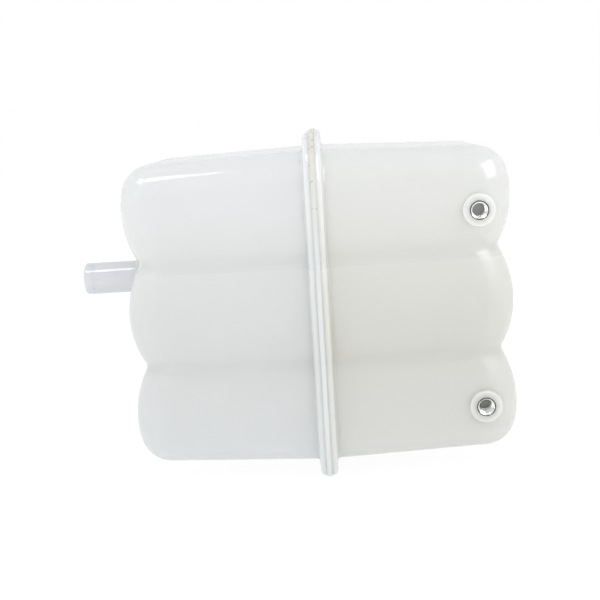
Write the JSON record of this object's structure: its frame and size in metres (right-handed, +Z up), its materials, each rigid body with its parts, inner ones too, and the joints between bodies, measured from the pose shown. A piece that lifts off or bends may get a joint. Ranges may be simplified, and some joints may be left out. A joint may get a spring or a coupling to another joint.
{
  "type": "coolant expansion tank",
  "caption": "Translucent moulded coolant expansion tank of stacked lobes, welded at an upright flange, with a hose spigot, threaded inserts and a pressure cap.",
  "frame": {"origin": "midway between the two threaded inserts, in the plane of their faces", "axes": "+X along the tank away from the hose spigot, +Y through the tank from the insert face to the filler neck, +Z up along the line of the inserts"},
  "size_m": [0.3315, 0.2416, 0.2608],
  "materials": {
    "tank_plastic": "milky translucent, softly glossy",
    "bead_plastic": "yellowish, dull",
    "spigot_plastic": "glossy, faintly violet grey",
    "insert_metal": "turned",
    "cap_plastic": "fine grain",
    "washer_plastic": "smooth",
    "core_plastic": "smooth",
    "seal_rubber": "dull",
    "spring_steel": "bright wire",
    "valve_brass": "turned"
  },
  "bodies": {
    "tank": {"left_shell": "tank_plastic", "right_shell": "tank_plastic", "weld_bead": "bead_plastic", "upper_insert": "insert_metal", "lower_insert": "insert_metal", "outlet_spigot": "spigot_plastic", "vent_spigot": "spigot_plastic", "filler_neck": "tank_plastic"},
    "rim_gasket": {"neck_gasket": "seal_rubber"},
    "cap_core": {"valve_housing": "core_plastic", "housing_o_ring": "seal_rubber", "pressure_spring": "spring_steel", "spring_retainer": "core_plastic", "thrust_washer": "washer_plastic"},
    "screw_cap": {"cap_shell": "cap_plastic"},
    "pressure_disc": {"pressure_plate": "core_plastic", "pressure_seal": "seal_rubber", "vacuum_spring": "spring_steel"},
    "vacuum_disc": {"vacuum_valve": "valve_brass", "vacuum_clip": "spring_steel"}
  },
  "joints": [
    {"name": "cap_lift_off", "type": "slide", "parent": "tank", "child": "rim_gasket", "axis": [0, 1, 0], "range_m": [0, 0.06]},
    {"name": "cap_rise", "type": "slide", "parent": "rim_gasket", "child": "cap_core", "axis": [0, 1, 0], "range_m": [0, 0.0061]},
    {"name": "cap_turn", "type": "hinge", "parent": "cap_core", "child": "screw_cap", "pos_m": [-0.034, 0.2173, 0.005], "axis": [0, 1, 0], "range_deg": [0, 540]},
    {"name": "pressure_valve", "type": "slide", "parent": "cap_core", "child": "pressure_disc", "axis": [0, 1, 0], "range_m": [0, 0.0025], "stiffness_N_per_m": 2600, "springref_m": -0.008, "deforming": ["pressure_spring"]},
    {"name": "vacuum_valve_travel", "type": "slide", "parent": "pressure_disc", "child": "vacuum_disc", "axis": [0, 1, 0], "range_m": [-0.0015, 0], "stiffness_N_per_m": 980, "springref_m": 0.0006, "deforming": ["vacuum_spring"]}
  ],
  "couplings": [
    {"joint": "cap_rise", "follows": "cap_turn", "m_per_rad": 0.00063662}
  ]
}
